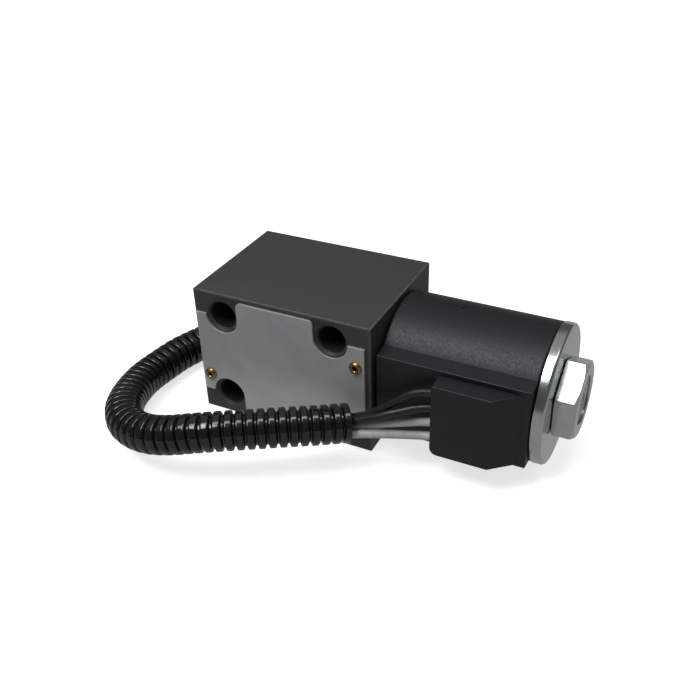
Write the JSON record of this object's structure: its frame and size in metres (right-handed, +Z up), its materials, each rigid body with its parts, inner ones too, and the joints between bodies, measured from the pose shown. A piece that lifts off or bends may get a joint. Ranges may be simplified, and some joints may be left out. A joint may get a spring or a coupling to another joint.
{
  "type": "solenoid directional valve",
  "caption": "Solenoid-operated directional spool valve with a standard 4-port mounting face, a cylindrical coil with a terminal box, and a short lead in corrugated conduit.",
  "frame": {"origin": "on the mounting face, at the middle of the line between ports P and T, level with the spool axis", "axes": "+X along the spool axis from the plug end to the solenoid, +Y out of the mounting face, +Z up as the valve lies on its side"},
  "size_m": [0.1573, 0.1482, 0.0474],
  "materials": {
    "cast_body": "dark olive-grey phosphate, matt, with bright rubbed edges",
    "plate_aluminium": "fine satin brushed",
    "rivet_brass": "satin",
    "seal_rubber": "matt nitrile",
    "spool_steel": "ground and honed",
    "spring_steel": "drawn wire",
    "zinc_steel": "bright zinc plate",
    "tube_steel": "turned",
    "pin_brass": "turned",
    "bobbin_plastic": "glass-filled nylon",
    "winding_copper": "enamelled copper wire",
    "coil_plastic": "moulded, fine speckle, satin",
    "lead_black": "smooth insulation",
    "lead_white": "smooth insulation",
    "conduit_plastic": "glossy corrugated",
    "connector_plastic": "moulded",
    "grommet_silicone": "silicone",
    "terminal_brass": "stamped and tinned",
    "lock_plastic": "moulded"
  },
  "bodies": {
    "root": {"valve_body": "cast_body", "name_plate": "plate_aluminium", "plate_rivets": "rivet_brass", "port_orings": "seal_rubber", "return_spring": "spring_steel", "end_plug": "zinc_steel", "end_plug_oring": "seal_rubber", "pole_piece": "tube_steel", "tube_oring": "seal_rubber", "core_tube": "tube_steel", "override_oring": "seal_rubber", "coil_bobbin": "bobbin_plastic", "coil_winding": "winding_copper", "coil_yoke": "tube_steel", "coil_housing": "coil_plastic", "coil_front_seal": "seal_rubber", "end_washer": "zinc_steel", "nut_seal": "seal_rubber", "retaining_nut": "zinc_steel", "black_lead_upper": "lead_black", "black_lead_lower": "lead_black", "white_lead_upper": "lead_white", "white_lead_lower": "lead_white", "conduit": "conduit_plastic", "connector_housing": "connector_plastic", "connector_seal": "grommet_silicone", "connector_terminals": "terminal_brass", "terminal_lock": "lock_plastic"},
    "spool": {"spool": "spool_steel", "spring_seat": "spool_steel"},
    "armature": {"armature": "tube_steel", "push_rod": "spool_steel"},
    "override_pin": {"override_pin": "pin_brass"}
  },
  "joints": [
    {"name": "spool_shift", "type": "slide", "parent": "root", "child": "spool", "axis": [-1, 0, 0], "range_m": [0, 0.003], "stiffness_N_per_m": 4000, "springref_m": -0.004, "deforming": ["return_spring"]},
    {"name": "armature_travel", "type": "slide", "parent": "root", "child": "armature", "axis": [-1, 0, 0], "range_m": [0, 0.003]},
    {"name": "override_press", "type": "slide", "parent": "root", "child": "override_pin", "axis": [-1, 0, 0], "range_m": [0, 0.003]}
  ],
  "couplings": [
    {"joint": "armature_travel", "follows": "spool_shift", "ratio": 1},
    {"joint": "override_press", "follows": "spool_shift", "ratio": 1}
  ]
}
